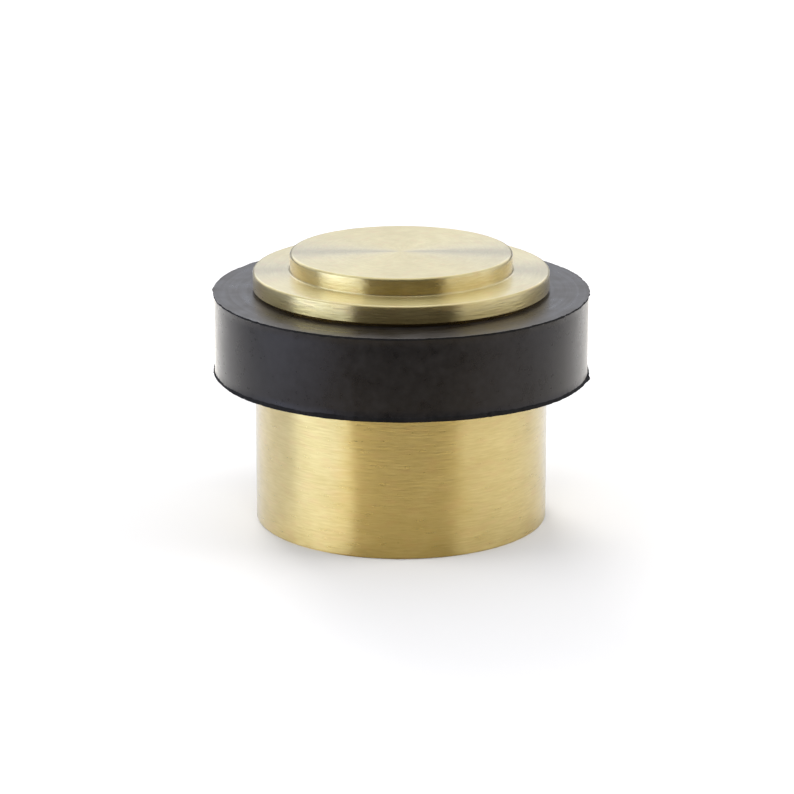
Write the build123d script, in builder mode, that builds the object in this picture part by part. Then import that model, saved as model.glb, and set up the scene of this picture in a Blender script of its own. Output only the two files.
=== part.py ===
"""Floor door stop: a turned brass pedestal, a rubber buffer ring and a stepped brass cap.

The base stands on the floor and carries a hub. The ring slips over the hub and is clamped under
the cap, whose stud screws into the hub. With the cap off, the fixing screw goes down through the
hub, and its head sits in the countersink above the screw hole.

Millimetres, +Z up, with the origin at the centre of the base's underside.
"""
import os

from build123d import *

# Base
base_diameter = 39.2
base_height = 20.3
hub_diameter = 20.0
hub_lead_in = 0.6
foot_edge_break = 0.3
shoulder_edge_break = 0.3

# Fixing screw hole in the base
screw_hole_diameter = 5.5
screw_seat_angle = 90.0
screw_head_room = 1.0
screw_hole_edge_break = 0.4

# Rubber ring, with the thin lip that moulding leaves at both rims
ring_diameter = 50.0
ring_height = 11.1
ring_bore_clearance = 0.05
lip_width = 0.25
lip_thickness = 0.3

# Cap: a flange that lines up with the base, a smaller disc on it and a threaded stud below
flange_overhang = 0.2
flange_thickness = 2.8
flange_edge_break = 0.2
flange_under_chamfer = 0.4
disc_diameter = 29.7
disc_height = 2.4
disc_edge_break = 0.2
disc_foot_fillet = 0.3
stud_diameter = 12.0
stud_length = 12.0
stud_point = 1.0
stud_relief_width = 1.5
stud_relief_depth = 0.9
stud_clearance = 0.05
stud_lead_in = 0.5

# Radii that two pieces share
base_radius = base_diameter / 2
hub_radius = hub_diameter / 2
ring_radius = ring_diameter / 2
lip_radius = ring_radius + lip_width
flange_radius = base_radius + flange_overhang
disc_radius = disc_diameter / 2
stud_radius = stud_diameter / 2
stud_relief_radius = stud_radius - stud_relief_depth
stud_bore_radius = stud_radius + stud_clearance
ring_bore_radius = hub_radius + ring_bore_clearance

# Levels above the floor, from the bottom up
shoulder_level = base_height
clamp_level = shoulder_level + ring_height
flange_level = clamp_level + flange_thickness
top_level = flange_level + disc_height
stud_end_level = clamp_level - stud_length
stud_relief_level = clamp_level - stud_relief_width
screw_seat_level = stud_end_level - screw_head_room

os.makedirs("parts", exist_ok=True)

# Base: pedestal and hub turned in one, with the stud's bore and the screw seat in line
with BuildPart() as base:
    with BuildSketch(Plane.XZ) as base_section:
        with BuildLine():
            Polyline(
                (0, 0),
                (base_radius, 0),
                (base_radius, shoulder_level),
                (hub_radius, shoulder_level),
                (hub_radius, clamp_level),
                (0, clamp_level),
                close=True,
            )
        make_face()
        base_rims = base_section.vertices().group_by(Axis.X)[-1].sort_by(Axis.Y)
        chamfer(base_rims[0], length=foot_edge_break)
        chamfer(base_rims[-1], length=shoulder_edge_break)
        hub_rim = base_section.vertices().group_by(Axis.Y)[-1].sort_by(Axis.X)[-1]
        chamfer(hub_rim, length=hub_lead_in)
    revolve(axis=Axis.Z)
    with Locations((0, 0, screw_seat_level)):
        CounterSinkHole(
            radius=screw_hole_diameter / 2,
            counter_sink_radius=stud_bore_radius,
            counter_sink_angle=screw_seat_angle,
        )
    circles = base.edges().filter_by(GeomType.CIRCLE).group_by(Axis.Z)
    chamfer(circles[0].sort_by(SortBy.RADIUS)[0], length=screw_hole_edge_break)
    chamfer(circles[-1].sort_by(SortBy.RADIUS)[0], length=stud_lead_in)

base.part.label = "base"
export_step(base.part, "parts/base.step")

# Buffer ring: a plain band between two lips, with a bore that fits the hub
with BuildPart() as buffer_ring:
    with BuildSketch(Plane.XZ):
        with BuildLine():
            Polyline(
                (ring_bore_radius, shoulder_level),
                (lip_radius, shoulder_level),
                (lip_radius, shoulder_level + lip_thickness),
                (ring_radius, shoulder_level + lip_thickness),
                (ring_radius, clamp_level - lip_thickness),
                (lip_radius, clamp_level - lip_thickness),
                (lip_radius, clamp_level),
                (ring_bore_radius, clamp_level),
                close=True,
            )
        make_face()
    revolve(axis=Axis.Z)

buffer_ring.part.label = "buffer_ring"
export_step(buffer_ring.part, "parts/buffer_ring.step")

# Cap: disc, flange and stud turned in one, with a relief where the thread runs out
with BuildPart() as cap:
    with BuildSketch(Plane.XZ) as cap_section:
        with BuildLine():
            Polyline(
                (0, stud_end_level),
                (stud_radius, stud_end_level),
                (stud_radius, stud_relief_level),
                (stud_relief_radius, stud_relief_level),
                (stud_relief_radius, clamp_level),
                (flange_radius, clamp_level),
                (flange_radius, flange_level),
                (disc_radius, flange_level),
                (disc_radius, top_level),
                (0, top_level),
                close=True,
            )
        make_face()
        disc_foot = cap_section.vertices().group_by(Axis.Y)[-2].sort_by(Axis.X)[0]
        fillet(disc_foot, radius=disc_foot_fillet)
        disc_rim = cap_section.vertices().group_by(Axis.Y)[-1].sort_by(Axis.X)[-1]
        chamfer(disc_rim, length=disc_edge_break)
        flange_rims = cap_section.vertices().group_by(Axis.X)[-1].sort_by(Axis.Y)
        chamfer(flange_rims[0], length=flange_under_chamfer)
        chamfer(flange_rims[-1], length=flange_edge_break)
        stud_tip = cap_section.vertices().group_by(Axis.Y)[0].sort_by(Axis.X)[-1]
        chamfer(stud_tip, length=stud_point)
    revolve(axis=Axis.Z)

cap.part.label = "cap"
export_step(cap.part, "parts/cap.step")
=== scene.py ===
"""Floor door stop: the finish of its turned brass and moulded rubber, in a white studio.

Metres, +Z up, with the origin at the centre of the base's underside.
"""
import math

import bpy
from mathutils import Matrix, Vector, noise


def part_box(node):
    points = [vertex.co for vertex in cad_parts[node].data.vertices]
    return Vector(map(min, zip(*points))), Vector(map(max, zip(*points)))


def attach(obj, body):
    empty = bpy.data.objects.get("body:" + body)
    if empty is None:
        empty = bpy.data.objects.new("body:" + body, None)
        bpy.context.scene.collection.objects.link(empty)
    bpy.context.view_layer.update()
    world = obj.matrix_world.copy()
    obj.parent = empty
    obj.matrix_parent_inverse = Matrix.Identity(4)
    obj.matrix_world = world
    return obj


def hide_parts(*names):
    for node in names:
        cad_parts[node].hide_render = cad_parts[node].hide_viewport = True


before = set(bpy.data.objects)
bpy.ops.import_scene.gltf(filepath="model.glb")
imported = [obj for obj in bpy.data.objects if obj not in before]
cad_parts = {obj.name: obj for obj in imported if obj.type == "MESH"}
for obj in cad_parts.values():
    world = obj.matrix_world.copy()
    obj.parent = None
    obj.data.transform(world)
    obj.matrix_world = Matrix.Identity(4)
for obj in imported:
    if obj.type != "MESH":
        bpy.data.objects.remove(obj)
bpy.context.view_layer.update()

MM = 0.001
DEG = math.pi / 180

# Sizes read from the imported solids
BASE_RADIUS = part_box("base")[1].x
SHOULDER_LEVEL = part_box("buffer_ring")[0].z
CLAMP_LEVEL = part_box("buffer_ring")[1].z
LIP_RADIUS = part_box("buffer_ring")[1].x
FLANGE_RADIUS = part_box("cap")[1].x
STUD_END_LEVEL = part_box("cap")[0].z
TOP_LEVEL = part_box("cap")[1].z

# Sizes that the boxes don't give
FIT_CLEARANCE = 0.05 * MM
HUB_RADIUS = 10.0 * MM
HUB_LEAD_IN = 0.6 * MM
FOOT_EDGE = 0.3 * MM
SHOULDER_EDGE = 0.3 * MM
SCREW_HOLE_RADIUS = 2.75 * MM
SCREW_HOLE_EDGE = 0.4 * MM
SCREW_HEAD_ROOM = 1.0 * MM
RING_BORE_RADIUS = HUB_RADIUS + FIT_CLEARANCE
LIP_WIDTH = 0.25 * MM
RING_RADIUS = LIP_RADIUS - LIP_WIDTH
FLANGE_THICKNESS = 2.8 * MM
FLANGE_LEVEL = CLAMP_LEVEL + FLANGE_THICKNESS
FLANGE_EDGE = 0.28 * MM
FLANGE_UNDER_EDGE = 0.48 * MM
FLANGE_UNDER_ROUND = 0.05 * MM
DISC_RADIUS = 14.85 * MM
DISC_EDGE = 0.36 * MM
DISC_FOOT_FILLET = 0.22 * MM
STUD_RADIUS = 6.0 * MM
STUD_POINT = 1.0 * MM
STUD_RELIEF_WIDTH = 1.5 * MM
STUD_RELIEF_DEPTH = 0.9 * MM
STUD_RELIEF_RADIUS = STUD_RADIUS - STUD_RELIEF_DEPTH
STUD_BORE_RADIUS = STUD_RADIUS + FIT_CLEARANCE
STUD_LEAD_IN = 0.5 * MM

# Mesh fineness
TURNED_SEGMENTS = 360
EDGE_STEPS = 5
EDGE_SUPPORT = 0.04 * MM
SHARP_ANGLE = 35 * DEG


# Profiles and turning

def rounded(corners):
    """Points (r, z) of a profile whose corners are (r, z, radius): an arc where the radius isn't 0."""
    points = []
    count = len(corners)
    for i, (r, z, radius) in enumerate(corners):
        here = Vector((r, z))
        if radius == 0:
            points.append(here)
            continue
        before = (Vector(corners[i - 1][:2]) - here).normalized()
        after = (Vector(corners[(i + 1) % count][:2]) - here).normalized()
        half = before.angle(after) / 2
        reach = radius / math.tan(half)
        centre = here + (before + after).normalized() * radius / math.sin(half)
        start = here + before * reach - centre
        end = here + after * reach - centre
        turn = start.angle_signed(end)
        points.append(here + before * (reach + EDGE_SUPPORT))
        for step in range(EDGE_STEPS + 1):
            angle = -turn * step / EDGE_STEPS
            spun = Vector((
                start.x * math.cos(angle) - start.y * math.sin(angle),
                start.x * math.sin(angle) + start.y * math.cos(angle),
            ))
            points.append(centre + spun)
        points.append(here + after * (reach + EDGE_SUPPORT))
    return points


def turned(name, points, material, closed=False):
    """A solid of revolution about Z.

    A closed profile makes a ring, and an open one starts and ends on the axis.
    """
    segments = TURNED_SEGMENTS
    rings = points if closed else points[1:-1]
    vertices = []
    for point in rings:
        for i in range(segments):
            angle = 2 * math.pi * i / segments
            vertices.append((point.x * math.cos(angle), point.x * math.sin(angle), point.y))
    faces = []
    count = len(rings)
    for j in range(count if closed else count - 1):
        low, high = j * segments, (j + 1) % count * segments
        for i in range(segments):
            k = (i + 1) % segments
            faces.append((low + i, low + k, high + k, high + i))
    if not closed:
        first, last = len(vertices), len(vertices) + 1
        vertices += [(0, 0, points[0].y), (0, 0, points[-1].y)]
        top = (count - 1) * segments
        for i in range(segments):
            k = (i + 1) % segments
            faces.append((first, k, i))
            faces.append((last, top + i, top + k))
    return mesh_object(name, vertices, faces, material)


def mesh_object(name, vertices, faces, *materials):
    """A smooth-shaded mesh, creased where its faces meet at more than SHARP_ANGLE."""
    mesh = bpy.data.meshes.new(name)
    mesh.from_pydata(vertices, [], faces)
    mesh.validate()
    for material in materials:
        mesh.materials.append(material)
    mesh.polygons.foreach_set("use_smooth", [True] * len(mesh.polygons))
    mesh.set_sharp_from_angle(angle=SHARP_ANGLE)
    mesh.update()
    piece = bpy.data.objects.new(name, mesh)
    bpy.context.scene.collection.objects.link(piece)
    return piece


def dress(piece, node):
    """The piece stands for a CAD node in that node's place: it hides the node and hangs from the root
    body.
    """
    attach(piece, "root")
    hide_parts(node)


# Shader helpers

def set_or_link(tree, socket, value):
    """A socket takes a link from another socket, or a plain value."""
    if isinstance(value, bpy.types.NodeSocket):
        tree.links.new(value, socket)
    else:
        socket.default_value = value


def calc(tree, operation, *values):
    """The result of a Math node."""
    node = tree.nodes.new("ShaderNodeMath")
    node.operation = operation
    for socket, value in zip(node.inputs, values):
        set_or_link(tree, socket, value)
    return node.outputs[0]


def blend(tree, first, second, share):
    """This share of the first value and the rest of the second."""
    return calc(
        tree,
        "ADD",
        calc(tree, "MULTIPLY", first, share),
        calc(tree, "MULTIPLY", second, 1 - share),
    )


def combine(tree, x, y, z):
    """A vector from three values."""
    node = tree.nodes.new("ShaderNodeCombineXYZ")
    for socket, value in zip(node.inputs, (x, y, z)):
        set_or_link(tree, socket, value)
    return node.outputs[0]


def separate(tree, vector):
    """The three values of a vector."""
    node = tree.nodes.new("ShaderNodeSeparateXYZ")
    tree.links.new(vector, node.inputs[0])
    return node.outputs


def coordinates(tree, kind):
    """One of the outputs of a Texture Coordinate node."""
    return tree.nodes.new("ShaderNodeTexCoord").outputs[kind]


def noise_value(tree, vector, scale, detail):
    """The value of a Noise Texture node."""
    node = tree.nodes.new("ShaderNodeTexNoise")
    tree.links.new(vector, node.inputs["Vector"])
    node.inputs["Scale"].default_value = scale
    node.inputs["Detail"].default_value = detail
    return node.outputs["Fac"]


def spread(tree, value, low, high, to_low=0.0, to_high=1.0, smooth=False):
    """A value from low to high, mapped to to_low to to_high and held at both ends."""
    node = tree.nodes.new("ShaderNodeMapRange")
    node.interpolation_type = "SMOOTHSTEP" if smooth else "LINEAR"
    for socket, item in zip(node.inputs, (value, low, high, to_low, to_high)):
        set_or_link(tree, socket, item)
    return node.outputs[0]


def mix_colour(tree, factor, first, second):
    """A colour between two others."""
    node = tree.nodes.new("ShaderNodeMix")
    node.data_type = "RGBA"
    set_or_link(tree, node.inputs[0], factor)
    set_or_link(tree, node.inputs[6], first)
    set_or_link(tree, node.inputs[7], second)
    return node.outputs[2]


def bump(tree, height, distance):
    """A normal that follows a height from 0 to 1 over this distance."""
    node = tree.nodes.new("ShaderNodeBump")
    node.inputs["Strength"].default_value = 1.0
    node.inputs["Distance"].default_value = distance
    tree.links.new(height, node.inputs["Height"])
    return node.outputs["Normal"]


def new_material(name):
    """A material, its node tree and its shader."""
    material = bpy.data.materials.new(name)
    material.use_nodes = True
    return material, material.node_tree, material.node_tree.nodes["Principled BSDF"]


def distance_from_axis(tree, x, y):
    """The radius at (x, y)."""
    squares = calc(tree, "ADD", calc(tree, "MULTIPLY", x, x), calc(tree, "MULTIPLY", y, y))
    return calc(tree, "SQRT", squares)


def turned_coordinates(tree, place):
    """The direction from the axis as (x, y), and the way travelled along the profile."""
    x, y, z = separate(tree, place)
    radius = distance_from_axis(tree, x, y)
    safe = calc(tree, "MAXIMUM", radius, 0.01 * MM)
    across = (calc(tree, "DIVIDE", x, safe), calc(tree, "DIVIDE", y, safe))
    along = calc(tree, "ADD", radius, z)
    return across, along


def streaks(tree, across, along, pattern, detail):
    """Noise drawn out round the axis, as a lathe or a belt leaves it."""
    lines_per_m, cells_round = pattern
    vector = combine(
        tree,
        calc(tree, "MULTIPLY", across[0], cells_round),
        calc(tree, "MULTIPLY", across[1], cells_round),
        calc(tree, "MULTIPLY", along, lines_per_m),
    )
    return noise_value(tree, vector, 1.0, detail)


# Brass

BRASS_DEEP = (0.757, 0.568, 0.197, 1)
BRASS_PALE = (0.903, 0.707, 0.282, 1)
BRASS_ROSY = (0.843, 0.592, 0.235, 1)
# The faces get a paler colour than the sides, which is painted paleness of the light that the tops
# reflect; they are brushed less finely, and what faces down is left as turned
PAINTED_FACE_DEEP = (0.757, 0.592, 0.211, 1)
PAINTED_FACE_PALE = (0.903, 0.737, 0.302, 1)
FACE_DULLNESS = 0.33
SIDE_DULLNESS = 0.29
UNDER_DULLNESS = 0.10
LINE_DULLNESS = 0.02
# The upward part of the normal, from a side to a face and from an underside to a side
SIDE_TO_FACE = (0.3, 0.9)
UNDER_TO_SIDE = (-0.5, -0.2)
# Brushed patterns: lines per metre of profile and cells round the axis
FINE_LINES = (4600, 11.0)
BROAD_LINES = (2300, 5.0)
SMUDGES = (420, 5.0)
DRIFTS = (900, 7.0)
TOOTH = (3200, 8.0)
TOOTH_DEPTH = 0.048 * MM


def satin_brass():
    """Lacquered brass with a finish brushed round the axis, so that reflections smear across the lines."""
    material, tree, shader = new_material("satin_brass")
    across, along = turned_coordinates(tree, coordinates(tree, "Object"))
    fine = streaks(tree, across, along, FINE_LINES, 1.0)
    broad = streaks(tree, across, along, BROAD_LINES, 1.0)
    smudge = streaks(tree, across, along, SMUDGES, 2.0)
    drift = streaks(tree, across, along, DRIFTS, 1.0)
    tooth = streaks(tree, across, along, TOOTH, 1.0)
    lines = blend(tree, fine, broad, 0.6)
    tone = blend(tree, lines, smudge, 0.6)
    facing_up = separate(tree, coordinates(tree, "Normal"))[2]
    # The paler colour of what faces up is painted paleness of the light that the tops reflect
    face = spread(tree, facing_up, *SIDE_TO_FACE)
    deep = mix_colour(tree, face, BRASS_DEEP, PAINTED_FACE_DEEP)
    pale = mix_colour(tree, face, BRASS_PALE, PAINTED_FACE_PALE)
    golden = mix_colour(tree, spread(tree, tone, 0.35, 0.65), deep, pale)
    colour = mix_colour(tree, spread(tree, drift, 0.52, 0.72, 0.0, 0.5), golden, BRASS_ROSY)
    tree.links.new(colour, shader.inputs["Base Color"])
    brushed = spread(tree, facing_up, *SIDE_TO_FACE, SIDE_DULLNESS, FACE_DULLNESS)
    dullness = spread(tree, facing_up, *UNDER_TO_SIDE, UNDER_DULLNESS, brushed)
    unevenness = spread(tree, lines, 0.3, 0.7, -LINE_DULLNESS, LINE_DULLNESS)
    tree.links.new(calc(tree, "ADD", dullness, unevenness), shader.inputs["Roughness"])
    upright = spread(tree, facing_up, *SIDE_TO_FACE, 1.0, 0.0)
    relief = calc(tree, "MULTIPLY", tooth, upright)
    tree.links.new(bump(tree, relief, TOOTH_DEPTH), shader.inputs["Normal"])
    tangent = tree.nodes.new("ShaderNodeTangent")
    tangent.direction_type = "RADIAL"
    tangent.axis = "Z"
    tree.links.new(tangent.outputs[0], shader.inputs["Tangent"])
    shader.inputs["Metallic"].default_value = 1.0
    shader.inputs["Anisotropic"].default_value = 1.0
    shader.inputs["Anisotropic Rotation"].default_value = 0.25
    shader.inputs["Coat Weight"].default_value = 1.0
    shader.inputs["Coat IOR"].default_value = 1.6
    shader.inputs["Coat Roughness"].default_value = 0.22
    return material


# Rubber

SIDE_GLOSS_TINT = (1.0, 0.855, 0.765, 1)
SIDE_BLOOM_TINT = (0.95, 0.89, 0.79, 1)
FACE_GLOSS_TINT = (1.0, 0.81, 0.53, 1)
ROUND_MARKS = (1500, 1.1)
MOTTLES_PER_M = 1100
PATCHES_PER_M = 330
GRAINS_PER_M = 5200
GRAIN_DEPTH = 0.004 * MM


def rubber_shader(name, marks, dark, light, smooth, dull):
    """A dark grainy moulding, with marks that run round it or a mottled skin.

    Its colour goes with the marks from dark to light, and its roughness from smooth to dull.
    """
    material, tree, shader = new_material(name)
    place = coordinates(tree, "Object")
    if marks == "round":
        across, along = turned_coordinates(tree, place)
        marked = streaks(tree, across, along, ROUND_MARKS, 3.0)
    else:
        marked = noise_value(tree, place, MOTTLES_PER_M, 3.0)
    patches = noise_value(tree, place, PATCHES_PER_M, 4.0)
    grain = noise_value(tree, place, GRAINS_PER_M, 3.0)
    wear = blend(tree, marked, patches, 0.5)
    colour = mix_colour(tree, spread(tree, wear, 0.35, 0.65), dark, light)
    tree.links.new(colour, shader.inputs["Base Color"])
    tree.links.new(spread(tree, wear, 0.35, 0.65, smooth, dull), shader.inputs["Roughness"])
    tree.links.new(bump(tree, grain, GRAIN_DEPTH), shader.inputs["Normal"])
    return material, shader


def black_rubber():
    """The ring's side: dark in front, with a pale bloom where it turns away."""
    material, shader = rubber_shader(
        "black_rubber", "mottled", (0.0040, 0.0037, 0.0040, 1), (0.0100, 0.0094, 0.0099, 1), 0.25, 0.37
    )
    shader.inputs["Specular IOR Level"].default_value = 0.27
    shader.inputs["Specular Tint"].default_value = SIDE_GLOSS_TINT
    shader.inputs["Sheen Weight"].default_value = 0.80
    shader.inputs["Sheen Roughness"].default_value = 0.33
    shader.inputs["Sheen Tint"].default_value = SIDE_BLOOM_TINT
    return material


def pressed_rubber():
    """The ring's flat faces, with marks that run round them."""
    material, shader = rubber_shader(
        "pressed_rubber", "round", (0.004, 0.0036, 0.0036, 1), (0.016, 0.0143, 0.0143, 1), 0.24, 0.46
    )
    shader.inputs["IOR"].default_value = 1.80
    shader.inputs["Specular Tint"].default_value = FACE_GLOSS_TINT
    return material


def torn_rubber():
    """The rough edge of the lips, where the flash was pulled off."""
    material, shader = rubber_shader(
        "torn_rubber", "mottled", (0.004, 0.0038, 0.0038, 1), (0.010, 0.0092, 0.0094, 1), 0.60, 0.80
    )
    shader.inputs["Specular IOR Level"].default_value = 0.12
    return material


# Base and cap

def make_base(brass):
    """Pedestal and hub in one, with the stud's bore, the screw seat and the screw hole in line."""
    seat_level = STUD_END_LEVEL - SCREW_HEAD_ROOM
    hole_level = seat_level - (STUD_BORE_RADIUS - SCREW_HOLE_RADIUS)
    corners = [
        (SCREW_HOLE_RADIUS + SCREW_HOLE_EDGE, 0, 0),
        (BASE_RADIUS, 0, FOOT_EDGE),
        (BASE_RADIUS, SHOULDER_LEVEL, SHOULDER_EDGE),
        (HUB_RADIUS, SHOULDER_LEVEL, 0),
        (HUB_RADIUS, CLAMP_LEVEL - HUB_LEAD_IN, 0),
        (HUB_RADIUS - HUB_LEAD_IN, CLAMP_LEVEL, 0),
        (STUD_BORE_RADIUS + STUD_LEAD_IN, CLAMP_LEVEL, 0),
        (STUD_BORE_RADIUS, CLAMP_LEVEL - STUD_LEAD_IN, 0),
        (STUD_BORE_RADIUS, seat_level, 0),
        (SCREW_HOLE_RADIUS, hole_level, 0),
        (SCREW_HOLE_RADIUS, SCREW_HOLE_EDGE, 0),
    ]
    piece = turned("pedestal", rounded(corners), brass, closed=True)
    dress(piece, "base")


def make_cap(brass):
    """Disc, flange and stud in one."""
    relief_level = CLAMP_LEVEL - STUD_RELIEF_WIDTH
    corners = [
        (0, STUD_END_LEVEL, 0),
        (STUD_RADIUS - STUD_POINT, STUD_END_LEVEL, 0),
        (STUD_RADIUS, STUD_END_LEVEL + STUD_POINT, 0),
        (STUD_RADIUS, relief_level, 0),
        (STUD_RELIEF_RADIUS, relief_level, 0),
        (STUD_RELIEF_RADIUS, CLAMP_LEVEL, 0),
        (FLANGE_RADIUS - FLANGE_UNDER_EDGE, CLAMP_LEVEL, 0),
        (FLANGE_RADIUS, CLAMP_LEVEL + FLANGE_UNDER_EDGE, FLANGE_UNDER_ROUND),
        (FLANGE_RADIUS, FLANGE_LEVEL, FLANGE_EDGE),
        (DISC_RADIUS, FLANGE_LEVEL, DISC_FOOT_FILLET),
        (DISC_RADIUS, TOP_LEVEL, DISC_EDGE),
        (0, TOP_LEVEL, 0),
    ]
    piece = turned("stepped_cap", rounded(corners), brass)
    dress(piece, "cap")


# Ring

RING_SEGMENTS = 720
SIDE_ROWS = 12
SIDE_WAVE = 0.012 * MM
UPPER_LIP_THICKNESS = 0.25 * MM
LOWER_LIP_THICKNESS = 0.30 * MM
LOWER_LIP_FRONT_GAIN = 0.20 * MM
# Noise seeds of each lip's reach and thickness
UPPER_LIP_SEEDS = (57.5, 83.5)
LOWER_LIP_SEEDS = (1.5, 31.5)
# Where the lips depart from their run: the middle of the place and its half width
SPUR_PLACE = (180.5 * DEG, 0.8 * DEG)
SPUR_HEIGHT = 0.16 * MM
SAG_PLACE = (337 * DEG, 28 * DEG)
SAG_DEPTH = 0.30 * MM
TAG_PLACE = (350 * DEG, 4 * DEG)
TAG_REACH = 0.28 * MM
TRIM_PLACE = (200 * DEG, 9 * DEG)
TRIM_SHARE = 0.85
# Places of the materials on the ring's mesh
SIDE, FACE, TORN = 0, 1, 2


def wander(angle, frequency, seed):
    """Smooth noise from -1 to 1 that closes on itself round the ring."""
    return noise.noise(Vector((math.cos(angle) * frequency, math.sin(angle) * frequency, seed)))


def lip_reach(angle, seed):
    """How far a lip stands out: a ragged share of the width that the mould gave it, with nicks."""
    coarse = 0.30 * wander(angle, 6, seed)
    medium = 0.35 * wander(angle, 26, seed + 3)
    fine = 0.35 * wander(angle, 75, seed + 7)
    nick = max(0.0, wander(angle, 19, seed + 11) - 0.42) * 3.0
    share = 0.62 + coarse + medium + fine - nick
    return LIP_WIDTH * min(1.0, max(0.06, share))


def lip_thickness(angle, middle, seed):
    """The uneven thickness of a lip about its middle value."""
    return middle * (1.0 + 0.30 * wander(angle, 9, seed) + 0.25 * wander(angle, 45, seed + 5))


def nearness(angle, place):
    """1 at one place round the ring, falling to 0 beside it."""
    middle, half_width = place
    gap = (angle - middle + math.pi) % (2 * math.pi) - math.pi
    return math.exp(-(gap / half_width) ** 2)


def ring_profile(angle):
    """Points (r, z, material) round the ring's section at this angle.

    The material is that of the band that starts at the point.
    """
    low, high = SHOULDER_LEVEL, CLAMP_LEVEL
    tag = nearness(angle, TAG_PLACE)
    foot_reach = lip_reach(angle, LOWER_LIP_SEEDS[0]) * (1 - TRIM_SHARE * nearness(angle, TRIM_PLACE))
    foot_reach = max(foot_reach, LIP_WIDTH * tag) + TAG_REACH * tag
    foot = low - SAG_DEPTH * nearness(angle, SAG_PLACE)
    foot_middle = LOWER_LIP_THICKNESS + LOWER_LIP_FRONT_GAIN * max(0.0, -math.sin(angle))
    foot_height = lip_thickness(angle, foot_middle, LOWER_LIP_SEEDS[1])
    spur = nearness(angle, SPUR_PLACE)
    head_reach = max(lip_reach(angle, UPPER_LIP_SEEDS[0]), LIP_WIDTH * spur)
    head_rise = SPUR_HEIGHT * spur
    head_height = lip_thickness(angle, UPPER_LIP_THICKNESS, UPPER_LIP_SEEDS[1])
    points = [
        (RING_BORE_RADIUS, low, FACE),
        (RING_RADIUS - 1.0 * MM, low, FACE),
        (RING_RADIUS - 0.5 * MM, (low + foot) / 2, FACE),
        (RING_RADIUS + foot_reach * 0.8, foot + 0.01 * MM, TORN),
        (RING_RADIUS + foot_reach, foot + foot_height * 0.3, TORN),
        (RING_RADIUS + foot_reach * 0.75, foot + foot_height, TORN),
        (RING_RADIUS + 0.01 * MM, foot + foot_height + 0.08 * MM, SIDE),
    ]
    start = foot + foot_height + 0.16 * MM
    end = high - head_height - 0.16 * MM
    for row in range(SIDE_ROWS + 1):
        level = start + (end - start) * row / SIDE_ROWS
        wave = SIDE_WAVE * wander(angle, 5, level * 220)
        points.append((RING_RADIUS - SIDE_WAVE + wave, level, SIDE))
    points += [
        (RING_RADIUS + 0.01 * MM, high - head_height - 0.06 * MM, TORN),
        (RING_RADIUS + head_reach * 0.75, high - head_height, TORN),
        (RING_RADIUS + head_reach, high - head_height * 0.4 + head_rise, TORN),
        (RING_RADIUS + head_reach * 0.8, high - 0.01 * MM + head_rise, FACE),
        (RING_RADIUS - 0.5 * MM, high, FACE),
        (RING_RADIUS - 1.0 * MM, high, FACE),
        (RING_BORE_RADIUS, high, FACE),
    ]
    return points


def make_ring(side, face, torn):
    """The moulded ring, with the ragged lips that the mould's halves left on its rims."""
    angles = [2 * math.pi * i / RING_SEGMENTS for i in range(RING_SEGMENTS)]
    sections = [ring_profile(angle) for angle in angles]
    count = len(sections[0])
    vertices = []
    for angle, section in zip(angles, sections):
        vertices += [(r * math.cos(angle), r * math.sin(angle), z) for r, z, _ in section]
    faces = []
    bands = []
    for i, section in enumerate(sections):
        here, there = i * count, (i + 1) % RING_SEGMENTS * count
        for j in range(count):
            k = (j + 1) % count
            faces.append((here + j, there + j, there + k, here + k))
            bands.append(section[j][2])
    piece = mesh_object("buffer", vertices, faces, side, face, torn)
    piece.data.polygons.foreach_set("material_index", bands)
    dress(piece, "buffer_ring")


# Studio

# Light round the object, each stop with its degrees from the camera's side towards +X, its brightness
# and its coolness, which is warm below 0
WALLS = (
    (-180, 0.15, 0.2), (-150, 0.18, 0.5), (-120, 0.32, 0.7), (-96, 0.42, 0.7), (-85, 1.78, 1.0),
    (-70, 2.05, 1.0), (-45, 1.42, 1.0), (-41, 1.22, 0.8), (-36, 0.15, 0.0), (-20, 0.11, 0.0),
    (39, 0.11, 0.0), (44, 0.45, 0.3), (50, 0.80, 0.35), (100, 0.92, 0.5), (120, 0.50, 0.4),
    (150, 0.18, 0.3), (180, 0.15, 0.2),
)
SCREEN = (
    (-180, 1.27, 0.38), (-150, 1.36, 0.38), (-120, 0.52, 0.55), (-96, 0.38, 0.55), (-85, 0.76, 0.7),
    (-70, 0.78, 0.7), (-45, 0.68, 0.7), (-41, 0.60, 0.6), (-36, 0.08, 0.0), (39, 0.05, 0.0),
    (44, 0.20, 0.3), (52, 0.50, 0.3), (64, 0.65, 0.4), (100, 0.80, 0.4), (120, 0.52, 0.4),
    (150, 1.02, 0.38), (167, 1.25, 0.38), (180, 1.27, 0.38),
)
CEILING = (
    (-180, 1.22, 0.38), (-110, 0.80, 0.4), (-60, 0.50, 0.4), (0, 0.15, 0.2), (60, 0.30, 0.3),
    (110, 0.95, 0.4), (180, 1.22, 0.38),
)
ZENITH = ((-180, 1.10, 0.4), (180, 1.10, 0.4))
# Each band above the walls, with the degrees of height where it starts and where it is full
BANDS = ((SCREEN, 11.0, 15.5), (CEILING, 48, 62), (ZENITH, 64, 74))
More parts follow.
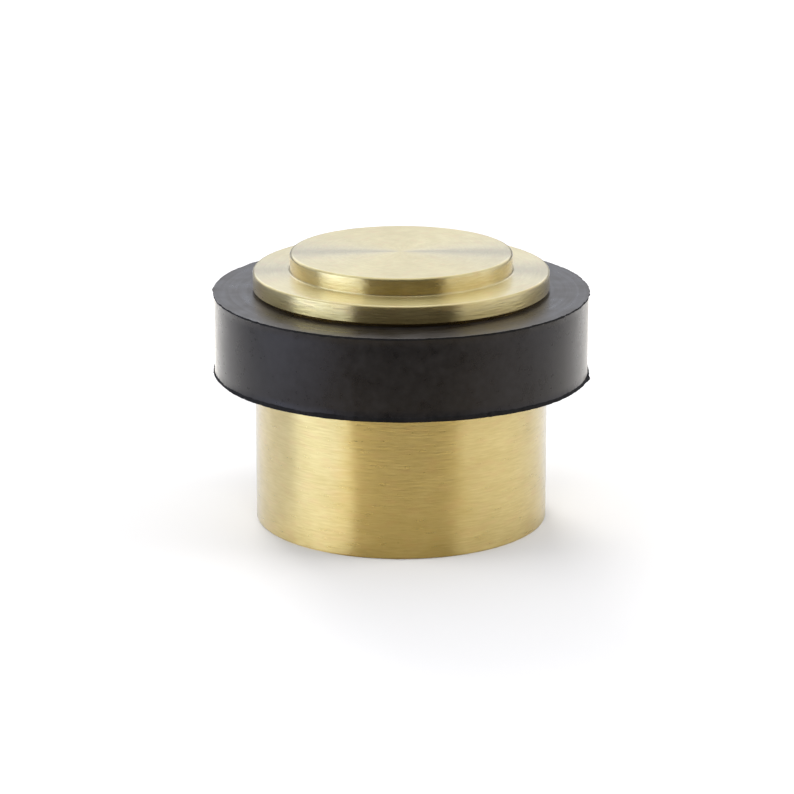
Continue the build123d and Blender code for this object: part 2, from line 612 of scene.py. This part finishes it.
# What the floor sends back to the object, in the same terms: far from the base and close to it. It is
# painted light and shade in the floor's colour, warmer in front, and close to the base darker in front and
# lighter at the left
PAINTED_FLOOR_BOUNCE = (
    (-180, 0.46, 0.0), (-104, 0.46, 0.0), (-92, 0.45, 0.1), (-46, 0.45, 0.1), (-36, 0.44, -0.58),
    (36, 0.44, -0.58), (46, 0.43, -0.30), (100, 0.43, -0.15), (120, 0.46, 0.0), (180, 0.46, 0.0),
)
PAINTED_FLOOR_NEAR_BASE = (
    (-180, 0.46, 0.0), (-75, 0.46, 0.0), (-55, 0.58, -0.1), (-30, 0.70, -0.2), (-21, 0.39, -0.6),
    (-10, 0.34, -0.62), (20, 0.32, -0.62), (28, 0.42, -0.4), (100, 0.43, -0.15), (180, 0.46, 0.0),
)
NEAR_END = 22 * MM
FAR_START = 44 * MM
COOL_TINT = Vector((1.0, 1.20, 1.70))
NEUTRAL_TINT = Vector((1.0, 1.0, 1.0))
FLOOR_REACH = 450 * MM
FLOOR_SIDE = 120 * MM
FLOOR_FRONT = -98 * MM
FLOOR_SHOWN = (0.559, 0.541, 0.511, 1)
BACKDROP_SHOWN = (1, 1, 1, 1)


def light_colour(level, coolness):
    """The colour of light of this brightness and coolness."""
    return (*(NEUTRAL_TINT.lerp(COOL_TINT, coolness) * level), 1)


def turn_round(tree, x, y):
    """The direction from the axis as a share of a turn, with the camera's side in the middle."""
    azimuth = calc(tree, "ARCTAN2", x, calc(tree, "MULTIPLY", y, -1.0))
    return spread(tree, azimuth, -math.pi, math.pi)


def light_round(tree, turn, stops):
    """The light of one table, all the way round."""
    ramp = tree.nodes.new("ShaderNodeValToRGB")
    tree.links.new(turn, ramp.inputs[0])
    elements = ramp.color_ramp.elements
    elements.remove(elements[-1])
    for i, (degrees, level, coolness) in enumerate(stops):
        place = (degrees + 180) / 360
        element = elements[0] if i == 0 else elements.new(place)
        element.position = place
        element.color = light_colour(level, coolness)
    return ramp.outputs[0]


def to_camera(tree, shown, otherwise):
    """One colour for the camera to see, and another that lights the object."""
    camera_ray = tree.nodes.new("ShaderNodeLightPath").outputs["Is Camera Ray"]
    return mix_colour(tree, camera_ray, otherwise, shown)


def make_world():
    """A white tent with softboxes at the sides and a dark gap where the camera stands."""
    world = bpy.data.worlds.new("studio")
    bpy.context.scene.world = world
    world.use_nodes = True
    tree = world.node_tree
    x, y, z = separate(tree, coordinates(tree, "Generated"))
    turn = turn_round(tree, x, y)
    elevation = calc(tree, "ARCSINE", z)
    lit = light_round(tree, turn, WALLS)
    for stops, start, full in BANDS:
        share = spread(tree, elevation, start * DEG, full * DEG, smooth=True)
        lit = mix_colour(tree, share, lit, light_round(tree, turn, stops))
    colour = to_camera(tree, BACKDROP_SHOWN, lit)
    tree.links.new(colour, tree.nodes["Background"].inputs["Color"])


def white_floor():
    """A sheet that the camera sees white, and whose colour for the object is the painted light and shade
    of the tables.
    """
    material, tree, shader = new_material("white_floor")
    x, y, _ = separate(tree, coordinates(tree, "Object"))
    turn = turn_round(tree, x, y)
    # Painted light and shade round the base, which the object sees in its reflections and bounced light
    near = light_round(tree, turn, PAINTED_FLOOR_NEAR_BASE)
    far = light_round(tree, turn, PAINTED_FLOOR_BOUNCE)
    away = spread(tree, distance_from_axis(tree, x, y), NEAR_END, FAR_START)
    colour = to_camera(tree, FLOOR_SHOWN, mix_colour(tree, away, near, far))
    diffuse = tree.nodes.new("ShaderNodeBsdfDiffuse")
    tree.links.new(colour, diffuse.inputs["Color"])
    tree.links.new(diffuse.outputs[0], tree.nodes["Material Output"].inputs["Surface"])
    tree.nodes.remove(shader)
    return material


def make_floor():
    """The sheet, which ends in front of the object and keeps the object's shadow."""
    corners = [
        (-FLOOR_SIDE, FLOOR_FRONT, 0),
        (FLOOR_SIDE, FLOOR_FRONT, 0),
        (FLOOR_SIDE, FLOOR_REACH, 0),
        (-FLOOR_SIDE, FLOOR_REACH, 0),
    ]
    floor = mesh_object("floor", corners, [(0, 1, 2, 3)], white_floor())


# Lamps that only model the shadow on the floor: name, place, size and power
SHADOW_LAMPS = (
    ("key", (-0.165, 0.625, 0.262), 0.33, 4.3),
    ("key_high", (-0.119, 0.561, 0.402), 0.30, 1.3),
    ("fill_left", (-0.371, 0.0, 0.150), 0.25, 1.40),
    ("fill_right", (0.371, 0.0, 0.150), 0.25, 1.75),
    ("fill_front", (0.0, -0.453, 0.211), 0.35, 2.30),
)


def make_lamps():
    """Soft lamps all round the object. Gloss doesn't show them: that is the walls' part."""
    for name, place, size, power in SHADOW_LAMPS:
        data = bpy.data.lights.new(name, "AREA")
        data.size = size
        data.energy = power
        lamp = bpy.data.objects.new(name, data)
        lamp.location = place
        lamp.rotation_euler = (-Vector(place)).to_track_quat("-Z", "Y").to_euler()
        lamp.visible_glossy = False
        bpy.context.scene.collection.objects.link(lamp)


# Camera

CAMERA_LENS = 154.8
CAMERA_SENSOR = 36.0
CAMERA_DISTANCE = 460 * MM
CAMERA_ELEVATION = 16.30 * DEG
CAMERA_TARGET = Vector((-0.562, 0.0, 16.39)) * MM
CLIP_START = 10 * MM
CLIP_END = 20.0


def make_camera():
    """A long lens in front of the object, looking a little down on it."""
    data = bpy.data.cameras.new("camera")
    data.lens = CAMERA_LENS
    data.sensor_width = CAMERA_SENSOR
    data.clip_start = CLIP_START
    data.clip_end = CLIP_END
    camera = bpy.data.objects.new("camera", data)
    back = Vector((0, -math.cos(CAMERA_ELEVATION), math.sin(CAMERA_ELEVATION)))
    camera.location = CAMERA_TARGET + back * CAMERA_DISTANCE
    camera.rotation_euler = (-back).to_track_quat("-Z", "Y").to_euler()
    bpy.context.scene.collection.objects.link(camera)
    bpy.context.scene.camera = camera


brass = satin_brass()
make_base(brass)
make_ring(black_rubber(), pressed_rubber(), torn_rubber())
make_cap(brass)
make_world()
make_floor()
make_lamps()
make_camera()
bpy.context.scene.view_settings.view_transform = "Standard"
